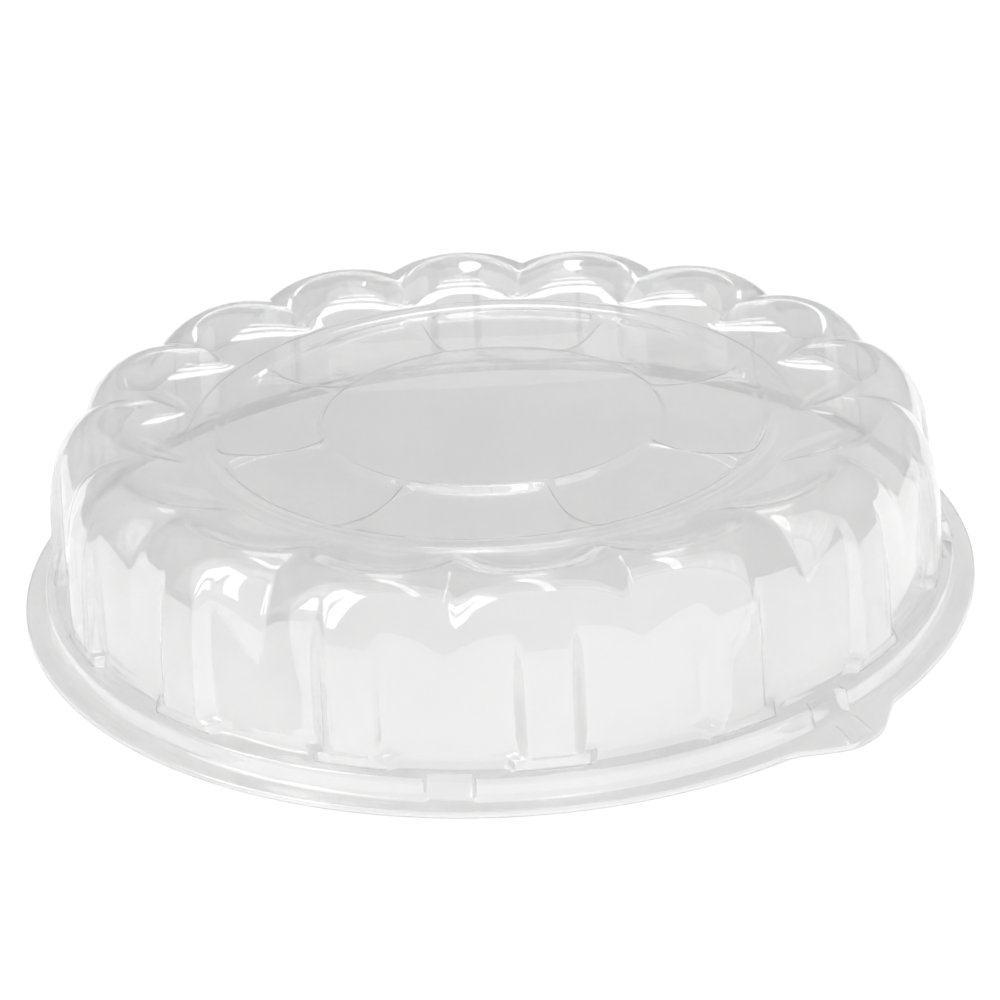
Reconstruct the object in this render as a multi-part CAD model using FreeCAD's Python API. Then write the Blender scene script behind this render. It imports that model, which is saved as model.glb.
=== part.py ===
import FreeCAD, Part
import math
import os

# A round clear cover with a fluted wall, snapped over the rim of a shallow round base tray.
# Both are formed from thin sheet. Lengths are millimetres, angles are degrees.
# The origin is the centre of the face that the tray rests on, and +Z is up.

# ---- driving dimensions ----
RIM_R = 230.0            # outer radius of the cover's rim
SHEET = 0.7              # thickness of the formed sheet
COVER_GAP = 0.6          # the cover's rim hangs this far above the surface under the tray
PHASE = 274.75           # direction of the first rib
RIBS = 16                # upright ribs, each with a lobe above it on the shoulder
PETALS = 8               # round recesses in the top panel

FLANGE_Z = 2.8           # top of the flat flange round the cover
LEDGE_Z = 11.5           # top of the ledge that covers the tray's rim
LUG_Z = 16.0             # top of the nesting lug at the foot of each rib
CREST_Z = 83.5           # the shoulder's crest, between the lobes
RING_Z = 76.5            # the ring line that frames the top panel
RING_R = 143.0           # outer radius of that ring line

RIB_OUT, RIB_FLAT, RIB_FOOT = 6.0, 2.4, 4.3      # how far a rib stands out, and its half widths
LUG_OUT, LUG_FLAT, LUG_FOOT = 5.0, 4.0, 5.3      # the same for a nesting lug
LOBE_ROUND = 0.86                    # 1 gives half-round lobes, less gives flatter ones
LOBE_UP, LOBE_OUT = 5.0, 12.5        # most that a lobe adds to the crest's height and radius

TAB_ANGLE = 308.5                    # direction of the pull tab
TAB_REACH = 11.8                     # how far the tab stands out from the rim
TAB_FLAT, TAB_FOOT = 0.8, 8.8        # its half widths at the tip and where it leaves the rim

NOTCH_ANGLES = (263.5, 353.5, 83.5, 173.5, 308.5)    # snap notches across the ledge's edge
NOTCH_IN, NOTCH_DOWN = 3.6, 1.6      # most that a notch cuts into the ledge's edge
NOTCH_FLAT, NOTCH_FOOT = 2.2, 2.9    # half widths of a notch on its floor and at its mouth

PANEL_DROP = 1.0         # raised parts of the top panel, below the ring line
PETAL_DROP = 3.6         # petal floors, below the ring line
PETAL_AT = 110.5         # radius of the circle that the petal centres lie on
PETAL_R = 42.0           # radius of each petal's floor
PANEL_EDGE_R = 132.0     # petals stop at this radius, inside the ring line
DISC_R = 80.0            # radius of the raised disc at the centre
BEVEL = 4.2              # width of the bevel round petals and disc
SADDLE_R = 102.0         # the webs between petals dip lowest at this radius
WEB_SHARE = 0.3          # how far a web's ends lie down towards the petal floors
CAP_R = 70.0             # the flat middle of the disc is one plane inside this radius
PANEL_STEP = 3.0         # least distance between poles across the top panel

COLUMNS = 320            # poles of each skin around the axis

TRAY_FOOT_R = 185.0                  # radius of the flat floor that the tray stands on
TRAY_RIM = (206.0, 214.4)            # radii of the flat on its rim
TRAY_RIM_Z = 9.9                     # top of the tray's rim
TRAY_LIP_Z = 7.6                     # lower edge of the rim's turned-down lip
CORNER = 0.4                         # how far the tray's inner corners lie from the outer ones


def ease(x, low, high):
    """0 below low, 1 above high, and a smooth step between."""
    t = min(max((x - low) / (high - low), 0.0), 1.0)
    return t * t * (3.0 - 2.0 * t)


def off_centre(angle, count, first):
    """The angle from the nearest of count features, the first of which lies at angle first."""
    pitch = 360.0 / count
    return (angle - first + pitch / 2.0) % pitch - pitch / 2.0


def rib_share(angle):
    """1 on a rib's face, 0 on the panels between the ribs."""
    return 1.0 - ease(abs(off_centre(angle, RIBS, PHASE)), RIB_FLAT, RIB_FOOT)


def lug_share(angle):
    """1 on a nesting lug, 0 beside it."""
    return 1.0 - ease(abs(off_centre(angle, RIBS, PHASE)), LUG_FLAT, LUG_FOOT)


def lobe_share(angle):
    """1 on the crown of a shoulder lobe, 0 in the valley between two, round like an arc."""
    across = off_centre(angle, RIBS, PHASE) * RIBS / 180.0
    low = math.sqrt(1.0 - LOBE_ROUND ** 2)
    return (math.sqrt(1.0 - (LOBE_ROUND * across) ** 2) - low) / (1.0 - low)


def tab_share(angle):
    """1 at the tip of the pull tab, 0 away from it."""
    return 1.0 - ease(abs(off_centre(angle, 1, TAB_ANGLE)), TAB_FLAT, TAB_FOOT)


def notch_share(angle):
    """1 on the floor of a snap notch, 0 away from the notches."""
    nearest = min(abs(off_centre(angle, 1, at)) for at in NOTCH_ANGLES)
    return 1.0 - ease(nearest, NOTCH_FLAT, NOTCH_FOOT)


# The cover's section from the foot of its lip to the ring line. Each row holds a radius and a
# height on the panels, and then what is added: radius on a lug, radius on a rib, radius and
# height on a lobe, radius on the tab, and radius and height in a notch.
SECTION = (
    (RIM_R, 0.0, 0, 0, 0, 0, TAB_REACH, 0, 0),
    (RIM_R - 0.1, 1.2, 0, 0, 0, 0, TAB_REACH, 0, 0),
    (RIM_R - 0.6, FLANGE_Z - 0.2, 0, 0, 0, 0, TAB_REACH, 0, 0),
    (RIM_R - 2.0, FLANGE_Z, 0, 0, 0, 0, TAB_REACH, 0, 0),
    (225.5, FLANGE_Z, 0, 0, 0, 0, 0.7 * TAB_REACH, 0, 0),
    (222.6, FLANGE_Z, 0, 0, 0, 0, 0.1 * TAB_REACH, 0, 0),
    (220.9, FLANGE_Z, 0, 0, 0, 0, 0, 0, 0),
    (220.1, FLANGE_Z + 1.6, 0, 0, 0, 0, 0, -0.5 * NOTCH_IN, -0.5 * NOTCH_DOWN),
    (219.3, 8.0, 0, 0, 0, 0, 0, -0.9 * NOTCH_IN, -NOTCH_DOWN),
    (218.8, LEDGE_Z - 0.9, 0, 0, 0, 0, 0, -NOTCH_IN, -NOTCH_DOWN),
    (217.9, LEDGE_Z, 0, 0, 0, 0, 0, -0.95 * NOTCH_IN, -0.5 * NOTCH_DOWN),
    (216.2, LEDGE_Z, 0, 0, 0, 0, 0, -0.6 * NOTCH_IN, -0.1 * NOTCH_DOWN),
    (213.0, LEDGE_Z, 0, 0, 0, 0, 0, 0, 0),
    (210.8, LEDGE_Z, 0.8 * LUG_OUT, 0, 0, 0, 0, 0, 0),
    (209.9, LEDGE_Z + 0.9, 0.9 * LUG_OUT, 0, 0, 0, 0, 0, 0),
    (209.2, LUG_Z - 1.4, LUG_OUT, 0, 0, 0, 0, 0, 0),
    (208.9, LUG_Z, 0.9 * LUG_OUT, 0.1 * RIB_OUT, 0, 0, 0, 0, 0),
    (208.7, LUG_Z + 0.8, 0.4 * LUG_OUT, 0.6 * RIB_OUT, 0, 0, 0, 0, 0),
    (208.5, LUG_Z + 1.4, 0, RIB_OUT, 0, 0, 0, 0, 0),
    (208.2, 22.0, 0, RIB_OUT, 0, 0, 0, 0, 0),
    (207.4, 32.0, 0, 5.8, 0, 0, 0, 0, 0),
    (206.2, 44.0, 0, 5.4, 0.8, 0, 0, 0, 0),
    (204.6, 55.0, 0, 4.8, 1.6, 0, 0, 0, 0),
    (202.4, 64.0, 0, 3.6, 3.2, 0.2, 0, 0, 0),
    (198.8, 71.5, 0, 1.8, 5.8, 1.0, 0, 0, 0),
    (193.8, 77.6, 0, 0, 7.2, 3.0, 0, 0, 0),
    (187.2, CREST_Z - 1.9, 0, 0, 7.0, 0.9 * LOBE_UP, 0, 0, 0),
    (179.5, CREST_Z, 0, 0, 8.4, LOBE_UP, 0, 0, 0),
    (171.5, CREST_Z + 0.1, 0, 0, 10.8, 2.8, 0, 0, 0),
    (163.5, 82.4, 0, 0, LOBE_OUT, -0.2, 0, 0, 0),
    (157.0, 79.8, 0, 0, 11.5, -1.0, 0, 0, 0),
    (151.5, 77.4, 0, 0, 6.5, -0.4, 0, 0, 0),
    (146.5, 75.9, 0, 0, 0, 0, 0, 0, 0),
    (RING_R + 1.2, RING_Z - 0.9, 0, 0, 0, 0, 0, 0, 0),
    (RING_R + 0.2, RING_Z, 0, 0, 0, 0, 0, 0, 0),
    (RING_R - 2.0, RING_Z, 0, 0, 0, 0, 0, 0, 0),
)


def section_row(row, angle):
    """One pole of the cover's wall: its radius and height at an angle."""
    radius, height, lug, rib, lobe_out, lobe_up, tab, notch_in, notch_down = row
    lobe, notch = lobe_share(angle), notch_share(angle)
    radius += lug * lug_share(angle) + rib * rib_share(angle) + lobe_out * lobe
    radius += tab * tab_share(angle) + notch_in * notch
    return radius, height + lobe_up * lobe + notch_down * notch


def panel_height(radius, angle):
    """The top panel's height: a raised disc and webs, with round petals sunk between the webs."""
    turn = math.radians(off_centre(angle, PETALS, PHASE - 180.0 / RIBS))
    x, y = radius * math.cos(turn) - PETAL_AT, radius * math.sin(turn)
    petal = 1.0 - ease(math.hypot(x, y), PETAL_R, PETAL_R + BEVEL)
    dip = max(0.0, 1.0 - abs(radius - SADDLE_R) / (SADDLE_R - DISC_R - BEVEL))
    web = WEB_SHARE + (1.0 - WEB_SHARE) * dip
    inside = 1.0 - ease(radius, PANEL_EDGE_R - BEVEL, PANEL_EDGE_R)
    inside *= ease(radius, DISC_R, DISC_R + BEVEL)
    frame = ease(radius, PANEL_EDGE_R, RING_R - 2.0)
    raised = RING_Z - PANEL_DROP * (1.0 - frame)
    return raised - (PETAL_DROP - PANEL_DROP) * inside * max(petal, web)


def cover_net():
    """Poles of the cover's outer face: one list per angle, from the lip's foot to the cap."""
    outside = SECTION[-1][0]
    steps = int((outside - CAP_R) / PANEL_STEP)
    radii = [outside - (outside - CAP_R) * i / steps for i in range(1, steps + 1)]
    net = []
    for i in range(COLUMNS):
        angle = 360.0 * i / COLUMNS
        wall = [section_row(row, angle) for row in SECTION]
        panel = [(radius, panel_height(radius, angle)) for radius in radii]
        turn = math.radians(angle)
        net.append([
            FreeCAD.Vector(r * math.cos(turn), r * math.sin(turn), z + COVER_GAP)
            for r, z in wall + panel
        ])
    return net


def thicken(net):
    """The same poles moved in by the sheet's thickness. The first row keeps its height."""
    count, rows = len(net), len(net[0])
    inner = []
    for i in range(count):
        line = []
        for j in range(rows):
            along = net[i][min(j + 1, rows - 1)] - net[i][max(j - 1, 0)]
            round_ = net[(i + 1) % count][j] - net[i - 1][j]
            normal = round_.cross(along).normalize()
            line.append(net[i][j] - normal * SHEET)
        line[0].z = net[i][0].z
        line[-1].z = net[i][-1].z - SHEET
        inner.append(line)
    return inner


def skin(net):
    """One smooth face over a net of poles that closes on itself around the axis."""
    count, rows = len(net), len(net[0])
    round_knots = list(range(count + 1))
    along_knots = list(range(rows - 2))
    along_mults = [4] + [1] * (rows - 4) + [4]
    surface = Part.BSplineSurface()
    surface.buildFromPolesMultsKnots(
        net, [1] * (count + 1), along_mults, round_knots, along_knots, True, False, 3, 3
    )
    return surface.toShape()


def end_edge(face, height):
    """The closed edge of a skin at one end, which lies level at that height."""
    return min(
        (e for e in face.Edges if e.isClosed()),
        key=lambda e: abs(e.BoundBox.ZMin - height) + abs(e.BoundBox.ZMax - height),
    )


def disc(edge):
    """The flat face inside a closed edge."""
    return Part.Face(Part.Wire([edge]))


def make_dome_cover():
    """The whole cover as one closed sheet: two skins, the cut edge, and the cap's two faces."""
    outer_net = cover_net()
    inner_net = thicken(outer_net)
    outer, inner = skin(outer_net), skin(inner_net)
    foot, cap = outer_net[0][0].z, outer_net[0][-1].z
    cut_edge = disc(end_edge(outer, foot)).cut(disc(end_edge(inner, foot)))
    cap_outside = disc(end_edge(outer, cap))
    cap_inside = disc(end_edge(inner, cap - SHEET))
    shell = Part.makeShell([outer, inner, cap_outside, cap_inside] + cut_edge.Faces)
    shell.sewShape()
    return Part.makeSolid(shell)


def make_base_tray():
    """A shallow round tray: flat floor, flared wall, flat rim and turned-down lip."""
    rim_in, rim_out = TRAY_RIM
    top, t = TRAY_RIM_Z, SHEET
    outline = [
        (0.0, 0.0), (TRAY_FOOT_R, 0.0), (rim_in + CORNER, top - t), (rim_out - t, top - t),
        (rim_out - t, TRAY_LIP_Z), (rim_out, TRAY_LIP_Z), (rim_out, top), (rim_in, top),
        (TRAY_FOOT_R - CORNER, t), (0.0, t),
    ]
    points = [FreeCAD.Vector(r, 0.0, z) for r, z in outline]
    profile = Part.Face(Part.makePolygon(points + points[:1]))
    return profile.revolve(FreeCAD.Vector(0, 0, 0), FreeCAD.Vector(0, 0, 1), 360.0)


PARTS = {
    "dome_cover": make_dome_cover,
    "base_tray": make_base_tray,
}


def main():
    """Writes each sub-part to its own file."""
    os.makedirs("parts", exist_ok=True)
    for name, make in PARTS.items():
        shape = make()
        box = shape.BoundBox
        print(name, shape.isValid(), round(shape.Volume), len(shape.Faces),
              [round(v, 2) for v in (box.XMin, box.XMax, box.YMin, box.YMax, box.ZMin, box.ZMax)])
        shape.exportStep("parts/" + name + ".step")


main()
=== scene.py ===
"""A clear round cover with a fluted wall on a shallow clear base tray, both formed from thin sheet.

Lengths are metres unless a name says otherwise, angles are degrees, +Z is up and the pull tab lies
in the quadrant of +X and -Y.
"""

import logging
import math
from dataclasses import dataclass, field
from enum import Enum
from typing import Iterator, Sequence

import bpy
from mathutils import Matrix, Vector


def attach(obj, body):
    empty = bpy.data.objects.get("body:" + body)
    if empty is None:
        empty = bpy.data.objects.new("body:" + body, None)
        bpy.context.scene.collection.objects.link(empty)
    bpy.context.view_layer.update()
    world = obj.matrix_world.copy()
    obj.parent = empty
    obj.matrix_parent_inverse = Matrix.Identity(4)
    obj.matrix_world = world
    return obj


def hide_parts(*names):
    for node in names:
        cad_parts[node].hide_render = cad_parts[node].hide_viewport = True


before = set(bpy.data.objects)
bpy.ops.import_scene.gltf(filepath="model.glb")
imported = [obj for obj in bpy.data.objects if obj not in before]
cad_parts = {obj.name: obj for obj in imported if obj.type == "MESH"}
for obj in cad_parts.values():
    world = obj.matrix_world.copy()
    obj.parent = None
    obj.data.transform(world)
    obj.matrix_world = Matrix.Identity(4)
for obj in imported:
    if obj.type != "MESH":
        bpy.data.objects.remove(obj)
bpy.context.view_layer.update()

LOG = logging.getLogger("humidity_dome_tray")

Colour = tuple[float, float, float, float]
Point = tuple[float, float, float]


class Body(Enum):
    """The bodies of the frame that pieces ride on."""

    TRAY = "tray"
    COVER = "cover"


class Slot(Enum):
    """The record's material slots."""

    CLEAR_COVER = "clear_cover"
    CLEAR_TRAY = "clear_tray"


# ---- small helpers ----


def ease(x: float, low: float, high: float) -> float:
    """A smooth step from 0 at low to 1 at high.

    Args:
        x: The value to place on the step.
        low: Where the step begins.
        high: Where the step ends.

    Returns:
        A share between 0 and 1.
    """
    share = min(max((x - low) / (high - low), 0.0), 1.0)
    return share * share * (3.0 - 2.0 * share)


def ramp(x: float, low: float, high: float, rounding: float = 0.2) -> float:
    """A straight rise from 0 at low to 1 at high whose two ends are rounded over.

    Args:
        x: The value to place on the ramp.
        low: Where the ramp begins.
        high: Where the ramp ends.
        rounding: The share of the ramp's width that each rounded end takes up.

    Returns:
        A share between 0 and 1.
    """
    t = min(max((x - low) / (high - low), 0.0), 1.0)
    steep = 1.0 / (1.0 - rounding)
    if t < rounding:
        return steep * t * t / (2.0 * rounding)
    if t > 1.0 - rounding:
        return 1.0 - steep * (1.0 - t) ** 2 / (2.0 * rounding)
    return steep * (t - rounding / 2.0)


def soft_max(a: float, b: float, width: float) -> float:
    """The larger of two shares, with the crease where they meet rounded over a width of share."""
    overlap = max(width - abs(a - b), 0.0) / width
    return min(max(a, b) + overlap * overlap * width / 4.0, 1.0)


def off_centre(angle: float, count: int, first: float) -> float:
    """The angle from the nearest of several evenly spaced features.

    Args:
        angle: Direction about the axis.
        count: How many features there are.
        first: Direction of one of them.

    Returns:
        The signed angle to the nearest feature.
    """
    pitch = 360.0 / count
    return (angle - first + pitch / 2.0) % pitch - pitch / 2.0


def spline_point(poles: Sequence[Sequence[float]], span: int, t: float) -> list[float]:
    """A point of the uniform cubic B-spline over poles, with its ends drawn onto the end poles.

    Args:
        poles: Control points, each a list of numbers.
        span: Index of the pole that the span starts from.
        t: How far along the span, from 0 to 1.

    Returns:
        The blended numbers.
    """
    last = len(poles) - 1
    near = [poles[min(max(span + k, 0), last)] for k in (-1, 0, 1, 2)]
    weights = (
        (1.0 - t) ** 3 / 6.0,
        (3.0 * t**3 - 6.0 * t**2 + 4.0) / 6.0,
        (-3.0 * t**3 + 3.0 * t**2 + 3.0 * t + 1.0) / 6.0,
        t**3 / 6.0,
    )
    return [sum(w * p[i] for w, p in zip(weights, near)) for i in range(len(near[0]))]


def grey(level: float) -> Colour:
    """A neutral opaque colour of this level."""
    return (level, level, level, 1.0)


def new_object(name: str, mesh: bpy.types.Mesh) -> bpy.types.Object:
    """Puts a mesh into the scene as an object.

    Args:
        name: Name of the piece.
        mesh: Its mesh, in metres in the frame.

    Returns:
        The new object.
    """
    piece = bpy.data.objects.new(name, mesh)
    bpy.context.scene.collection.objects.link(piece)
    return piece


# ---- finishes ----


class NodeDesk:
    """Adds nodes to one material and joins them."""

    def __init__(self, name: str) -> None:
        """Starts an empty node material.

        Args:
            name: Name of the material.
        """
        self.material = bpy.data.materials.new(name)
        self.material.use_nodes = True
        self.tree = self.material.node_tree
        self.tree.nodes.clear()

    def add(self, kind: str, values: dict | None = None, **settings: str) -> bpy.types.Node:
        """Adds a node.

        Args:
            kind: Blender's node type.
            values: Numbers or colours for its input sockets, by name.
            settings: The node's own properties.

        Returns:
            The node.
        """
        node = self.tree.nodes.new(kind)
        for key, value in settings.items():
            setattr(node, key, value)
        for key, value in (values or {}).items():
            node.inputs[key].default_value = value
        return node

    def join(self, source: bpy.types.NodeSocket, target: bpy.types.NodeSocket) -> None:
        """Links an output socket to an input socket."""
        self.tree.links.new(source, target)


@dataclass(frozen=True)
class ClearSheet:
    """Glossy clear sheet plastic.

    The forming leaves slow waves in it, and handling leaves patches that are a little less glossy.
    """

    name: str
    clear_tint: float
    cloudy_tint: float
    shadow_tint: float = 1.0
    tint_scale: float = 9.0
    tint_stops: tuple[float, float] = (0.35, 0.65)
    ior: float = 1.57
    head_on_mirror: float = 0.05
    glancing_mirror: float = 0.95
    straight_share: float = 0.5
    gloss_roughness: tuple[float, float] = (0.0, 0.008)
    wave_scale: float = 16.0
    wave_depth: float = 0.0006
    wave_strength: float = 0.10
    scuff_scale: float = 40.0
    scuff_stops: tuple[float, float] = (0.35, 0.75)

    def material(self) -> bpy.types.Material:
        """Builds the node material: part of the light bends in the sheet, part goes straight through.

        Returns:
            The material.
        """
        desk = NodeDesk(self.name)
        place = desk.add("ShaderNodeTexCoord").outputs["Object"]
        tint = self._tint(desk, place)
        roughness = self._roughness(desk, place)
        normal = self._waves(desk, place)
        bent = desk.add("ShaderNodeBsdfPrincipled", {"Transmission Weight": 1.0, "IOR": self.ior})
        desk.join(tint, bent.inputs["Base Color"])
        desk.join(roughness, bent.inputs["Roughness"])
        desk.join(normal, bent.inputs["Normal"])
        one_face = desk.add("ShaderNodeGamma", {"Gamma": 0.5})
        desk.join(tint, one_face.inputs["Color"])
        straight = self._straight(desk, one_face.outputs[0], roughness, normal)
        sheet = desk.add("ShaderNodeMixShader", {0: self.straight_share})
        desk.join(bent.outputs[0], sheet.inputs[1])
        desk.join(straight, sheet.inputs[2])
        in_shadow = desk.add("ShaderNodeBsdfTransparent", {"Color": grey(self.shadow_tint)})
        surface = desk.add("ShaderNodeMixShader")
        desk.join(desk.add("ShaderNodeLightPath").outputs["Is Shadow Ray"], surface.inputs[0])
        desk.join(sheet.outputs[0], surface.inputs[1])
        desk.join(in_shadow.outputs[0], surface.inputs[2])
        desk.join(surface.outputs[0], desk.add("ShaderNodeOutputMaterial").inputs["Surface"])
        return desk.material

    def _straight(
        self,
        desk: NodeDesk,
        tint: bpy.types.NodeSocket,
        roughness: bpy.types.NodeSocket,
        normal: bpy.types.NodeSocket,
    ) -> bpy.types.NodeSocket:
        """One face of a sheet too thin to bend light, which still mirrors more at a glance.

        Args:
            desk: Where the nodes go.
            tint: What one face lets through.
            roughness: Roughness of the mirrored light.
            normal: The face's wavy normal.

        Returns:
            The shader's socket.
        """
        through = desk.add("ShaderNodeBsdfTransparent")
        desk.join(tint, through.inputs["Color"])
        gloss = desk.add("ShaderNodeBsdfAnisotropic", {"Color": (1.0, 1.0, 1.0, 1.0)})
        desk.join(roughness, gloss.inputs["Roughness"])
        desk.join(normal, gloss.inputs["Normal"])
        face = desk.add("ShaderNodeMixShader")
        desk.join(self._mirror_share(desk, normal), face.inputs[0])
        desk.join(through.outputs[0], face.inputs[1])
        desk.join(gloss.outputs[0], face.inputs[2])
        return face.outputs[0]

    def _mirror_share(self, desk: NodeDesk, normal: bpy.types.NodeSocket) -> bpy.types.NodeSocket:
        """How much one face of the sheet mirrors at each angle, by Schlick's formula.

        Args:
            desk: Where the nodes go.
            normal: The face's wavy normal.

        Returns:
            The share's socket.
        """
        facing = desk.add("ShaderNodeLayerWeight", {"Blend": 0.5})
        desk.join(normal, facing.inputs["Normal"])
        glancing = desk.add("ShaderNodeMath", {1: 5.0}, operation="POWER")
        desk.join(facing.outputs["Facing"], glancing.inputs[0])
        share = desk.add(
            "ShaderNodeMath",
            {1: self.glancing_mirror, 2: self.head_on_mirror},
            operation="MULTIPLY_ADD",
        )
        desk.join(glancing.outputs[0], share.inputs[0])
        return share.outputs[0]

    def _waves(self, desk: NodeDesk, place: bpy.types.NodeSocket) -> bpy.types.NodeSocket:
        """The slow unevenness that forming leaves, as a normal.

        Args:
            desk: Where the nodes go.
            place: Coordinates on the piece.

        Returns:
            The normal's socket.
        """
        noise = desk.add(
            "ShaderNodeTexNoise", {"Scale": self.wave_scale, "Detail": 2.0, "Roughness": 0.45}
        )
        desk.join(place, noise.inputs["Vector"])
        bump = desk.add(
            "ShaderNodeBump", {"Strength": self.wave_strength, "Distance": self.wave_depth}
        )
        desk.join(noise.outputs["Fac"], bump.inputs["Height"])
        return bump.outputs["Normal"]

    def _tint(self, desk: NodeDesk, place: bpy.types.NodeSocket) -> bpy.types.NodeSocket:
        """What the sheet lets through, a little uneven because forming draws it out unevenly.

        Args:
            desk: Where the nodes go.
            place: Coordinates on the piece.

        Returns:
            The colour's socket.
        """
        noise = desk.add(
            "ShaderNodeTexNoise", {"Scale": self.tint_scale, "Detail": 3.0, "Roughness": 0.5}
        )
        desk.join(place, noise.inputs["Vector"])
        blend = desk.add("ShaderNodeValToRGB")
        tints = (self.cloudy_tint, self.clear_tint)
        for stop, position, tint in zip(blend.color_ramp.elements, self.tint_stops, tints):
            stop.position = position
            stop.color = grey(tint)
        desk.join(noise.outputs["Fac"], blend.inputs["Fac"])
        return blend.outputs["Color"]

    def _roughness(self, desk: NodeDesk, place: bpy.types.NodeSocket) -> bpy.types.NodeSocket:
        """Roughness of the gloss, with faint scuffs.

        Args:
            desk: Where the nodes go.
            place: Coordinates on the piece.

        Returns:
            The roughness's socket.
        """
        noise = desk.add(
            "ShaderNodeTexNoise", {"Scale": self.scuff_scale, "Detail": 4.0, "Roughness": 0.6}
        )
        desk.join(place, noise.inputs["Vector"])
        spread = desk.add(
            "ShaderNodeMapRange",
            {
                "From Min": self.scuff_stops[0],
                "From Max": self.scuff_stops[1],
                "To Min": self.gloss_roughness[0],
                "To Max": self.gloss_roughness[1],
            },
        )
        desk.join(noise.outputs["Fac"], spread.inputs["Value"])
        return spread.outputs["Result"]


@dataclass(frozen=True)
class ThinClearSheet(ClearSheet):
    """Shallow clear sheet, in which light only goes straight through and which mirrors little."""

    head_on_mirror: float = 0.01
    glancing_mirror: float = 0.35

    def material(self) -> bpy.types.Material:
        """Builds the node material of the sheet.

        Returns:
            The material.
        """
        desk = NodeDesk(self.name)
        place = desk.add("ShaderNodeTexCoord").outputs["Object"]
        normal = self._waves(desk, place)
        face = self._straight(desk, self._tint(desk, place), self._roughness(desk, place), normal)
        desk.join(face, desk.add("ShaderNodeOutputMaterial").inputs["Surface"])
        return desk.material


@dataclass(frozen=True)
class PaperFloor:
    """Matt white studio paper."""

    name: str = "white_paper"
    whiteness: float = 0.86
    fibre_scale: float = 600.0
    fibre_strength: float = 0.05
    fibre_depth: float = 0.0001

    def material(self) -> bpy.types.Material:
        """Builds the node material of the paper.

        Returns:
            The material.
        """
        desk = NodeDesk(self.name)
        place = desk.add("ShaderNodeTexCoord").outputs["Object"]
        noise = desk.add("ShaderNodeTexNoise", {"Scale": self.fibre_scale, "Detail": 2.0})
        desk.join(place, noise.inputs["Vector"])
        bump = desk.add(
            "ShaderNodeBump", {"Strength": self.fibre_strength, "Distance": self.fibre_depth}
        )
        desk.join(noise.outputs["Fac"], bump.inputs["Height"])
        paper = desk.add("ShaderNodeBsdfDiffuse", {"Color": grey(self.whiteness)})
        desk.join(bump.outputs["Normal"], paper.inputs["Normal"])
        desk.join(paper.outputs[0], desk.add("ShaderNodeOutputMaterial").inputs["Surface"])
        return desk.material


# ---- formed sheets ----


@dataclass
class FormedSheet:
    """Builds a closed thin sheet from rows of points around the axis and gives it its thickness."""

    name: str
    sheet: float
    crisp_edge: float = 50.0
    verts: list[Point] = field(default_factory=list)
    faces: list[tuple[int, ...]] = field(default_factory=list)
    width: int = 0

    def add_row(self, row: Sequence[Point]) -> None:
        """Adds a closed row of points inside the last one and joins the two with faces.

        Args:
            row: The points, all round the axis.
        """
        start = len(self.verts)
        self.verts.extend(row)
        if self.width:
            self.faces.extend(self._band(start - self.width, start))
        self.width = len(row)

    def _band(self, outer: int, inner: int) -> Iterator[tuple[int, ...]]:
        """The faces between two rows.

        Args:
            outer: Index of the outer row's first point.
            inner: Index of the inner row's first point.

        Returns:
            The faces, one after another, as indices of their points.
        """
        for i in range(self.width):
            j = (i + 1) % self.width
            yield (outer + i, outer + j, inner + j, inner + i)

    def close_middle(self, centre: Point) -> None:
        """Fills the last row with a fan of faces.

        Args:
            centre: The point in the middle of the fan.
        """
        self.verts.append(centre)
        start = len(self.verts) - 1 - self.width
        for i in range(self.width):
            self.faces.append((start + i, start + (i + 1) % self.width, len(self.verts) - 1))

    def piece(self) -> bpy.types.Object:
        """Makes the piece: the outer skin, thickened inwards, with smooth faces and crisp cut edges.

        Returns:
            The piece, as one closed mesh.
        """
        mesh = bpy.data.meshes.new(self.name)
        mesh.from_pydata(self.verts, [], self.faces)
        mesh.validate()
        for polygon in mesh.polygons:
            polygon.use_smooth = True
        piece = new_object(self.name, mesh)
        thicken = piece.modifiers.new("sheet_thickness", "SOLIDIFY")
        thicken.thickness = self.sheet
        thicken.offset = -1.0
        thicken.use_rim = True
        bpy.context.view_layer.objects.active = piece
        piece.select_set(True)
        bpy.ops.object.modifier_apply(modifier=thicken.name)
        bpy.ops.object.shade_smooth_by_angle(angle=math.radians(self.crisp_edge))
        piece.select_set(False)
        return piece


MM = 0.001  # one millimetre in metres

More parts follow.
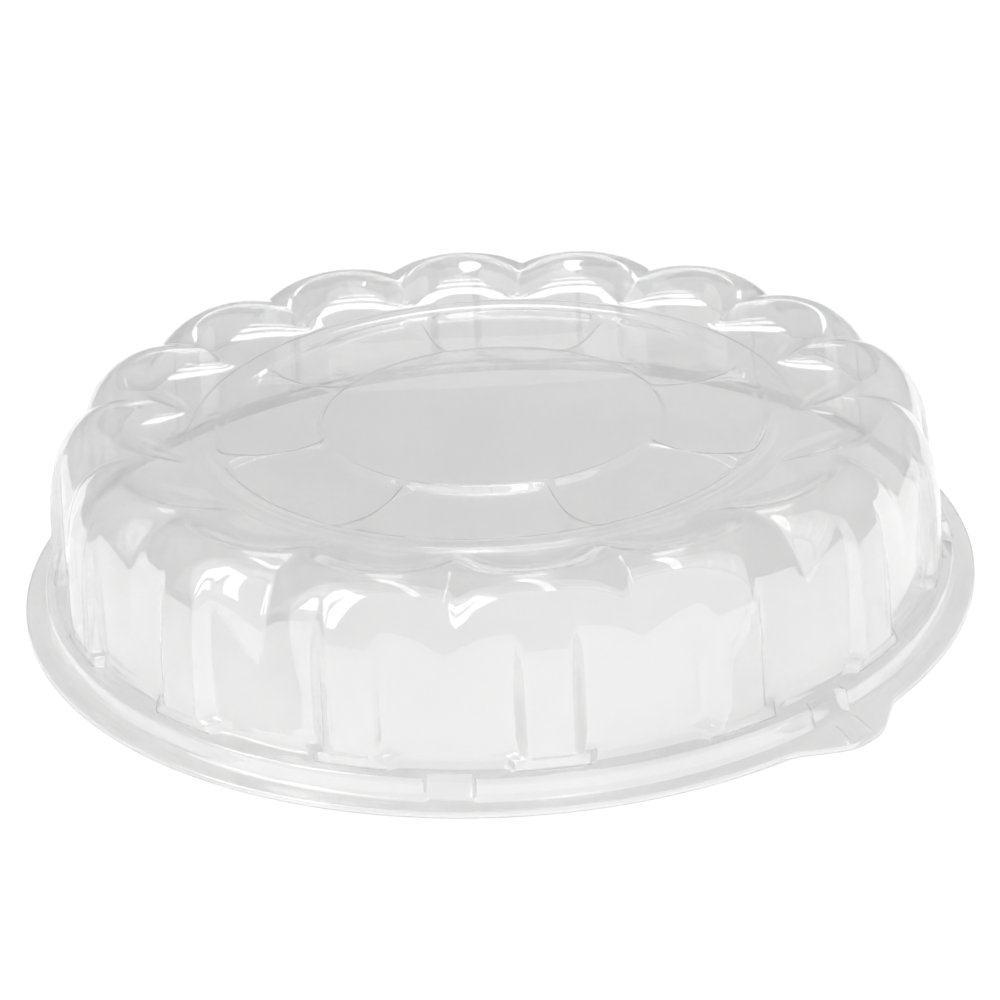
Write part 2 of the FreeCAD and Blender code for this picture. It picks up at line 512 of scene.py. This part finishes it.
# The cover's section from the foot of its lip to the ring line, in millimetres. Each row holds a
# radius and a height on the panels, and then what is added: radius on a lug, radius on a rib,
# radius and height on a lobe, the share of the tab's reach, radius and height in a notch, and how
# many rows of faces the mesh has up to the next row.
COVER_SECTION = (
    (229.5, 0.0, 0, 0, 0, 0, 1.0, 0, 0, 1),
    (229.5, 0.0, 0, 0, 0, 0, 1.0, 0, 0, 1),
    (229.4, 1.2, 0, 0, 0, 0, 1.0, 0, 0, 2),
    (228.9, 2.6, 0, 0, 0, 0, 1.0, 0, 0, 2),
    (227.6, 2.9, 0, 0, 0, 0, 1.0, 0, 0, 3),
    (225.5, 2.7, 0, 0, 0, 0, 0.7, 0, 0, 4),
    (222.6, 2.6, 0, 0, 0, 0, 0.1, 0, 0, 2),
    (220.9, 2.8, 0, 0, 0, 0, 0, 0, 0, 2),
    (220.1, 4.4, 0, 0, 0, 0, 0, -1.8, -0.8, 1),
    (219.3, 8.0, 0, 0, 0, 0, 0, -3.2, -1.6, 1),
    (218.8, 10.6, 0, 0, 0, 0, 0, -3.6, -1.6, 2),
    (217.9, 11.6, 0, 0, 0, 0, 0, -3.4, -0.8, 2),
    (216.2, 11.7, 0, 0, 0, 0, 0, -2.2, -0.2, 1),
    (213.0, 11.5, 0, 0, 0, 0, 0, 0, 0, 1),
    (210.8, 11.4, 4.0, 0, 0, 0, 0, 0, 0, 2),
    (209.9, 12.4, 4.6, 0, 0, 0, 0, 0, 0, 2),
    (209.2, 14.6, 5.0, 0, 0, 0, 0, 0, 0, 1),
    (208.9, 16.0, 4.6, 0.6, 0, 0, 0, 0, 0, 2),
    (208.7, 16.8, 2.0, 3.6, 0, 0, 0, 0, 0, 2),
    (208.5, 17.4, 0, 6.0, 0, 0, 0, 0, 0, 1),
    (208.2, 22.0, 0, 6.0, 0, 0, 0, 0, 0, 1),
    (207.4, 32.0, 0, 5.8, 0, 0, 0, 0, 0, 1),
    (206.2, 44.0, 0, 5.4, 0.8, 0, 0, 0, 0, 2),
    (204.6, 55.0, 0, 4.8, 1.6, 0, 0, 0, 0, 2),
    (202.4, 64.0, 0, 3.6, 3.2, 0.2, 0, 0, 0, 2),
    (198.8, 71.5, 0, 1.8, 5.8, 1.0, 0, 0, 0, 2),
    (193.8, 77.6, 0, 0, 7.2, 3.0, 0, 0, 0, 2),
    (187.2, 81.6, 0, 0, 7.0, 4.6, 0, 0, 0, 3),
    (179.5, 83.4, 0, 0, 8.4, 4.9, 0, 0, 0, 3),
    (171.5, 83.6, 0, 0, 10.8, 2.8, 0, 0, 0, 3),
    (163.5, 82.4, 0, 0, 12.5, -0.2, 0, 0, 0, 2),
    (157.0, 79.8, 0, 0, 11.5, -1.0, 0, 0, 0, 2),
    (151.5, 77.4, 0, 0, 6.5, -0.4, 0, 0, 0, 2),
    (146.5, 75.9, 0, 0, 0, 0, 0, 0, 0, 2),
    (144.2, 75.6, 0, 0, 0, 0, 0, 0, 0, 2),
    (143.2, 76.5, 0, 0, 0, 0, 0, 0, 0, 2),
    (141.0, 76.5, 0, 0, 0, 0, 0, 0, 0, 1),
)


@dataclass
class DomeCover:
    """The clear cover: flange and tab, ledge and notches, ribbed wall, lobed shoulder, top panel.

    Lengths are millimetres here, as a maker's drawing has them, and points come out in metres. The
    pair that describes a rib, a lug, a notch, a grip bar or the tab holds two angles from its middle:
    where its flat ends and where its foot ends. gap is how high the cover's foot is above the floor.
    """

    name: str = "dome_cover_sheet"
    node: str = "dome_cover"
    sheet: float = 0.7
    gap: float = 0.6
    first_rib: float = 274.75
    ribs: int = 16
    petals: int = 8
    rib: tuple[float, float] = (2.4, 4.3)
    lug: tuple[float, float] = (4.0, 5.3)
    lobe_round: float = 0.86
    cusp_soft: float = 0.05
    tab_angle: float = 308.5
    tab_reach: float = 11.6
    tab: tuple[float, float] = (0.8, 8.8)
    notch_angles: tuple[float, ...] = (263.5, 353.5, 83.5, 173.5, 308.5)
    notch: tuple[float, float] = (2.3, 2.8)
    bar_at: tuple[float, ...] = (306.95, 309.95)
    bar: tuple[float, float] = (0.16, 0.40)
    bar_ends: tuple[float, float] = (226.0, 237.5)
    bar_height: float = 0.8
    bar_slope: float = 1.2
    bar_slant: float = 0.09
    ring_z: float = 76.5
    panel_drop: float = 1.0
    petal_drop: float = 3.6
    petal_at: float = 110.5
    petal_r: float = 42.0
    panel_edge_r: float = 132.0
    ring_r: float = 141.0
    disc_r: float = 80.0
    bevel: float = 4.2
    saddle_r: float = 102.0
    web_step: float = 0.3
    crease_round: float = 0.25
    panel_radii: tuple[float, ...] = (
        139.0, 136.0, 133.0, 132.0, 131.6, 131.16, 129.9, 128.64, 128.2, 127.8, 126.6, 121.0,
        115.0, 109.0, 103.0, 97.0, 91.0, 85.4, 84.2, 83.8, 83.36, 82.1, 80.84, 80.4, 80.0, 78.8,
        70.0, 46.0, 20.0,
    )
    column_offsets: tuple[float, ...] = (
        0.0, 1.2, 2.2, 2.65, 3.1, 3.55, 4.0, 4.4, 4.9, 5.5, 7.0, 8.4, 9.8, 10.7,
    )
    notch_column_offsets: tuple[float, ...] = (0.0, 1.2, 2.05, 2.3, 2.47, 2.64, 2.8, 3.05)
    bar_columns: int = 5
    bar_column_step: float = 0.2
    petal_columns: tuple[float, float] = (16.45, 19.85)
    follow_from_r: float = 62.0

    def columns(self) -> list[float]:
        """The directions of the mesh's columns, closer together where the shape turns fast.

        Returns:
            Directions in rising order.
        """
        pitch = 360.0 / self.ribs
        found = set()
        for k in range(self.ribs):
            middle = self.first_rib + k * pitch
            found.add(round((middle + pitch / 2.0) % 360.0, 3))
            for off in self.column_offsets:
                found.update(round((middle + s * off) % 360.0, 3) for s in (-1, 1))
        for at in self.notch_angles:
            for off in self.notch_column_offsets:
                found.update(round((at + s * off) % 360.0, 3) for s in (-1, 1))
        for at in self.bar_at:
            steps = range(-self.bar_columns, self.bar_columns + 1)
            found.update(round(at + self.bar_column_step * k, 3) for k in steps)
        return self._thinned(sorted(found))

    @staticmethod
    def _thinned(angles: list[float], least: float = 0.16) -> list[float]:
        """Drops directions that lie too close to the one before.

        Args:
            angles: Directions in rising order.
            least: The smallest step that is kept.

        Returns:
            The directions that are left.
        """
        kept = [angles[0]]
        for angle in angles[1:]:
            if angle - kept[-1] >= least:
                kept.append(angle)
        return kept

    @staticmethod
    def share(limits: tuple[float, float], off: float) -> float:
        """1 within a feature's flat, 0 outside its foot; off is the angle from its centre."""
        return 1.0 - ease(abs(off), limits[0], limits[1])

    def lobe_share(self, angle: float) -> float:
        """How much of a shoulder lobe stands in a direction, round like an arc.

        Args:
            angle: Direction about the axis.

        Returns:
            1 on the crown of a lobe, 0 in the valley between two.
        """
        across = abs(off_centre(angle, self.ribs, self.first_rib)) * self.ribs / 180.0
        soft = self.cusp_soft
        across = 1.0 + soft - math.hypot(1.0 - across, soft)
        across = min(across, 1.0)
        low = math.sqrt(1.0 - self.lobe_round**2)
        return (math.sqrt(1.0 - (self.lobe_round * across) ** 2) - low) / (1.0 - low)

    def wall_point(self, span: int, t: float, angle: float) -> Point:
        """A point of the section between the lip and the ring line.

        Args:
            span: Row of the section that the span starts from.
            t: How far along the span.
            angle: Direction about the axis.

        Returns:
            The point in metres.
        """
        off = off_centre(angle, self.ribs, self.first_rib)
        rib = self.share(self.rib, off)
        lug = self.share(self.lug, off)
        tab = self.share(self.tab, off_centre(angle, 1, self.tab_angle))
        notch = self.share(self.notch, min(abs(off_centre(angle, 1, at)) for at in self.notch_angles))
        lobe = self.lobe_share(angle)
        row = spline_point(COVER_SECTION, span, t)
        radius, height, lug_out, rib_out, lobe_out, lobe_up, on_tab, notch_out, notch_up = row[:-1]
        radius += lug_out * lug + rib_out * rib + lobe_out * lobe
        radius += on_tab * self.tab_reach * tab + notch_out * notch
        height += lobe_up * lobe + notch_up * notch
        if tab > 0.0 and on_tab > 0.0:
            height += self.bar_rise(radius, angle)
        return self.place(radius, height, angle)

    def bar_rise(self, radius: float, angle: float) -> float:
        """How far the two short grip bars stand up from the pull tab at a place.

        Args:
            radius: Distance from the axis.
            angle: Direction about the axis.

        Returns:
            The height of the bar there, or 0 beside the bars.
        """
        low, high = self.bar_ends
        slanted = angle + self.bar_slant * (radius - (low + high) / 2.0)
        across = max(self.share(self.bar, off_centre(slanted, 1, at)) for at in self.bar_at)
        along = ease(radius, low - self.bar_slope, low) * (1.0 - ease(radius, high, high + self.bar_slope))
        return self.bar_height * across * along

    def place(self, radius: float, height: float, angle: float) -> Point:
        """A point in the frame.

        Args:
            radius: Distance from the axis.
            height: Height above the cover's foot.
            angle: Direction about the axis.

        Returns:
            The point in metres.
        """
        turn = math.radians(angle)
        height += self.gap
        return (radius * math.cos(turn) * MM, radius * math.sin(turn) * MM, height * MM)

    def panel_height(self, radius: float, angle: float) -> float:
        """Height of the top panel: a raised disc and webs, with round petals sunk between them.

        Args:
            radius: Distance from the axis.
            angle: Direction about the axis.

        Returns:
            The height above the cover's foot.
        """
        turn = math.radians(off_centre(angle, self.petals, self.first_rib - 180.0 / self.ribs))
        x = radius * math.cos(turn) - self.petal_at
        petal = 1.0 - ramp(math.hypot(x, radius * math.sin(turn)), self.petal_r, self.petal_r + self.bevel)
        inside = ramp(radius, self.disc_r, self.disc_r + self.bevel)
        inside *= 1.0 - ramp(radius, self.panel_edge_r - self.bevel, self.panel_edge_r)
        sag = 1.0 - abs(radius - self.saddle_r) / (self.saddle_r - self.disc_r - self.bevel)
        web = self.web_step + (1.0 - self.web_step) * max(0.0, sag)
        sunk = inside * soft_max(petal, web, self.crease_round)
        raised = self.ring_z - self.panel_drop * (1.0 - ease(radius, self.panel_edge_r, self.ring_r))
        return raised - (self.petal_drop - self.panel_drop) * sunk

    def petal_edge(self, radius: float, reach: float) -> float:
        """The angle from a petal's middle at which a circle about the petal's centre is crossed."""
        cosine = (radius**2 + self.petal_at**2 - reach**2) / (2.0 * radius * self.petal_at)
        return math.degrees(math.acos(min(max(cosine, -1.0), 1.0)))

    def follow_petal(self, radius: float, angle: float) -> float:
        """Moves a column sideways so that columns run along the petals' rounded sides.

        Args:
            radius: Distance from the axis.
            angle: The column's direction on the wall.

        Returns:
            Its direction on the top panel.
        """
        half = 180.0 / self.petals
        off = off_centre(angle, self.petals, self.first_rib - 180.0 / self.ribs)
        foot = min(self.petal_edge(radius, self.petal_r), half - 0.3)
        top = min(self.petal_edge(radius, self.petal_r + self.bevel), half - 0.1)
        foot_column, top_column = self.petal_columns
        stops = ((0.0, 0.0), (foot_column, foot), (top_column, top), (half, half))
        for (a, fa), (b, fb) in zip(stops, stops[1:]):
            if abs(off) <= b:
                moved = fa + (fb - fa) * (abs(off) - a) / (b - a)
                break
        weight = ease(radius, self.follow_from_r, self.disc_r)
        weight *= 1.0 - ease(radius, self.panel_edge_r, self.ring_r)
        return angle + math.copysign(moved - abs(off), off) * weight

    def build(self) -> bpy.types.Object:
        """Builds the whole sheet as one piece.

        Returns:
            The piece, closed and with its real thickness.
        """
        sheet = FormedSheet(self.name, self.sheet * MM)
        angles = self.columns()
        for span in range(1, len(COVER_SECTION) - 1):
            steps = COVER_SECTION[span][-1]
            for k in range(steps):
                sheet.add_row([self.wall_point(span, k / steps, a) for a in angles])
        for radius in self.panel_radii:
            row = []
            for angle in angles:
                moved = self.follow_petal(radius, angle)
                row.append(self.place(radius, self.panel_height(radius, moved), moved))
            sheet.add_row(row)
        sheet.close_middle(self.place(0.0, self.panel_height(1.0, 0.0), 0.0))
        return sheet.piece()

    def dress(self, piece: bpy.types.Object) -> None:
        """Gives the piece its finish and ties it to the frame.

        Args:
            piece: The piece that build made.
        """
        finish = ClearSheet("clear_cover_plastic", clear_tint=0.935, cloudy_tint=0.915, shadow_tint=0.997)
        piece.data.materials.append(finish.material())
        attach(piece, Body.COVER.value)
        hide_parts(self.node)


@dataclass
class BaseTray:
    """The shallow clear tray under the cover.

    Lengths are millimetres. Each ring holds a radius and a height above the floor, from the foot of
    the rim's turned-down lip to the middle of the tray's floor.
    """

    name: str = "base_tray_sheet"
    node: str = "base_tray"
    sheet: float = 0.7
    columns: int = 256
    rings: tuple[tuple[float, float], ...] = (
        (214.3, 7.7), (214.3, 9.2), (214.1, 9.7), (213.6, 9.9), (210.0, 9.9), (206.8, 9.9),
        (205.6, 9.5), (204.2, 8.8), (198.0, 6.1), (192.0, 3.5), (186.6, 1.2), (185.2, 0.85),
        (183.6, 0.8), (160.0, 0.8), (120.0, 0.8), (60.0, 0.8), (20.0, 0.8),
    )

    def build(self) -> bpy.types.Object:
        """Builds the whole tray as one piece.

        Returns:
            The piece, closed and with its real thickness.
        """
        sheet = FormedSheet(self.name, self.sheet * MM)
        for radius, height in self.rings:
            row = []
            for i in range(self.columns):
                turn = 2.0 * math.pi * i / self.columns
                row.append((radius * math.cos(turn) * MM, radius * math.sin(turn) * MM, height * MM))
            sheet.add_row(row)
        sheet.close_middle((0.0, 0.0, self.rings[-1][1] * MM))
        return sheet.piece()

    def dress(self, piece: bpy.types.Object) -> None:
        """Gives the piece its finish and ties it to the frame.

        Args:
            piece: The piece that build made.
        """
        finish = ThinClearSheet("clear_tray_plastic", clear_tint=0.997, cloudy_tint=0.992)
        piece.data.materials.append(finish.material())
        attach(piece, Body.TRAY.value)
        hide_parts(self.node)


# ---- studio ----


@dataclass(frozen=True)
class Softbox:
    """A flat soft lamp that hangs beside or above the object and faces it."""

    name: str
    place: Point
    size: tuple[float, float]
    brightness: float

    def build(self) -> None:
        """Hangs the lamp in the studio."""
        data = bpy.data.lights.new(self.name, "AREA")
        data.shape = "RECTANGLE"
        data.size, data.size_y = self.size
        data.energy = self.brightness * math.pi * self.size[0] * self.size[1]
        lamp = bpy.data.objects.new(self.name, data)
        lamp.visible_diffuse = False
        lamp.visible_transmission = False
        bpy.context.scene.collection.objects.link(lamp)
        lamp.location = self.place
        lamp.rotation_euler = Vector(self.place).to_track_quat("Z", "Y").to_euler()


@dataclass
class Studio:
    """The white floor and backdrop, the dim room, the lamps and the camera."""

    floor_reach: float = 30.0
    room_low: float = 0.26
    room_high: float = 0.42
    backdrop: float = 1.0
    sky_strength: float = 2.75
    sky_softness: float = 70.0
    bounces: int = 32
    gloss_bounces: int = 16
    clear_bounces: int = 64
    sensor: float = 36.0
    lens: float = 80.99
    elevation: float = 27.6506
    distance: float = 1.10608
    aim_turn: float = -0.1049
    aim_tilt: float = 1.3114
    roll: float = -2.9832
    softboxes: tuple[Softbox, ...] = (
        Softbox("overhead_box", (0.10, 0.04, 1.5), (1.20, 0.16), 3.0),
        Softbox("window_left", (-1.47, -0.72, 1.35), (0.36, 1.8), 4.0),
        Softbox("window_right", (-1.18, -1.12, 1.35), (0.36, 1.8), 4.0),
        Softbox("rear_bar_far", (0.0, 1.95, 1.5), (0.32, 0.24), 2.4),
        Softbox("rear_bar_middle", (0.0, 1.45, 1.5), (0.32, 0.16), 2.4),
        Softbox("rear_bar_near", (0.0, 1.10, 1.5), (0.32, 0.07), 2.4),
    )

    def build(self) -> None:
        """Sets up the whole studio."""
        self.floor()
        self.room()
        self.overhead()
        for softbox in self.softboxes:
            softbox.build()
        self.camera()
        scene = bpy.context.scene
        scene.view_settings.view_transform = "Standard"
        scene.cycles.transparent_max_bounces = self.clear_bounces
        scene.cycles.max_bounces = self.bounces
        scene.cycles.transmission_bounces = self.bounces
        scene.cycles.glossy_bounces = self.gloss_bounces

    def floor(self) -> None:
        """Lays the paper that the object stands on."""
        reach = self.floor_reach
        mesh = bpy.data.meshes.new("studio_floor")
        corners = [(-reach, -reach, 0.0), (reach, -reach, 0.0), (reach, reach, 0.0), (-reach, reach, 0.0)]
        mesh.from_pydata(corners, [], [(0, 1, 2, 3)])
        floor = new_object("studio_floor", mesh)
        floor.data.materials.append(PaperFloor().material())

    def room(self) -> None:
        """Makes the room a soft grey, lighter towards the ceiling, behind a plain white backdrop."""
        world = bpy.data.worlds.new("studio_room")
        bpy.context.scene.world = world
        world.use_nodes = True
        nodes, links = world.node_tree.nodes, world.node_tree.links
        nodes.clear()
        place = nodes.new("ShaderNodeTexCoord")
        split = nodes.new("ShaderNodeSeparateXYZ")
        blend = nodes.new("ShaderNodeValToRGB")
        blend.color_ramp.elements[0].color = grey(self.room_low)
        blend.color_ramp.elements[1].color = grey(self.room_high)
        links.new(place.outputs["Generated"], split.inputs[0])
        links.new(split.outputs["Z"], blend.inputs["Fac"])
        mirrored = nodes.new("ShaderNodeBackground")
        links.new(blend.outputs["Color"], mirrored.inputs["Color"])
        backdrop = nodes.new("ShaderNodeBackground")
        backdrop.inputs["Color"].default_value = grey(self.backdrop)
        seen = nodes.new("ShaderNodeMixShader")
        links.new(nodes.new("ShaderNodeLightPath").outputs["Is Camera Ray"], seen.inputs[0])
        links.new(mirrored.outputs[0], seen.inputs[1])
        links.new(backdrop.outputs[0], seen.inputs[2])
        links.new(seen.outputs[0], nodes.new("ShaderNodeOutputWorld").inputs["Surface"])

    def overhead(self) -> None:
        """Lights the floor evenly with wide soft light from above, which the gloss doesn't show."""
        data = bpy.data.lights.new("overhead_fill", "SUN")
        data.energy = self.sky_strength
        data.angle = math.radians(self.sky_softness)
        lamp = bpy.data.objects.new("overhead_fill", data)
        lamp.visible_glossy = False
        lamp.visible_transmission = False
        bpy.context.scene.collection.objects.link(lamp)

    def camera(self) -> None:
        """Places the camera and makes it the scene's own."""
        data = bpy.data.cameras.new("camera")
        data.sensor_width = self.sensor
        data.lens = self.lens
        camera = bpy.data.objects.new("camera", data)
        bpy.context.scene.collection.objects.link(camera)
        up = math.radians(self.elevation)
        turn = Matrix.Rotation(math.radians(90.0) - up, 4, "X")
        turn = turn @ Matrix.Rotation(math.radians(self.aim_turn), 4, "Y")
        turn = turn @ Matrix.Rotation(math.radians(self.aim_tilt), 4, "X")
        turn = turn @ Matrix.Rotation(math.radians(self.roll), 4, "Z")
        foot = DomeCover().gap * MM
        at = Vector((0.0, -math.cos(up), math.sin(up))) * self.distance + Vector((0.0, 0.0, foot))
        camera.matrix_world = Matrix.Translation(at) @ turn
        bpy.context.scene.camera = camera


def main() -> None:
    """Builds the studio and the object's pieces and reports each piece."""
    logging.basicConfig(level=logging.INFO, format="%(name)s: %(message)s")
    Studio().build()
    for maker in (BaseTray(), DomeCover()):
        piece = maker.build()
        maker.dress(piece)
        LOG.info("%s: %d faces", piece.name, len(piece.data.polygons))


if __name__ == "__main__":
    main()
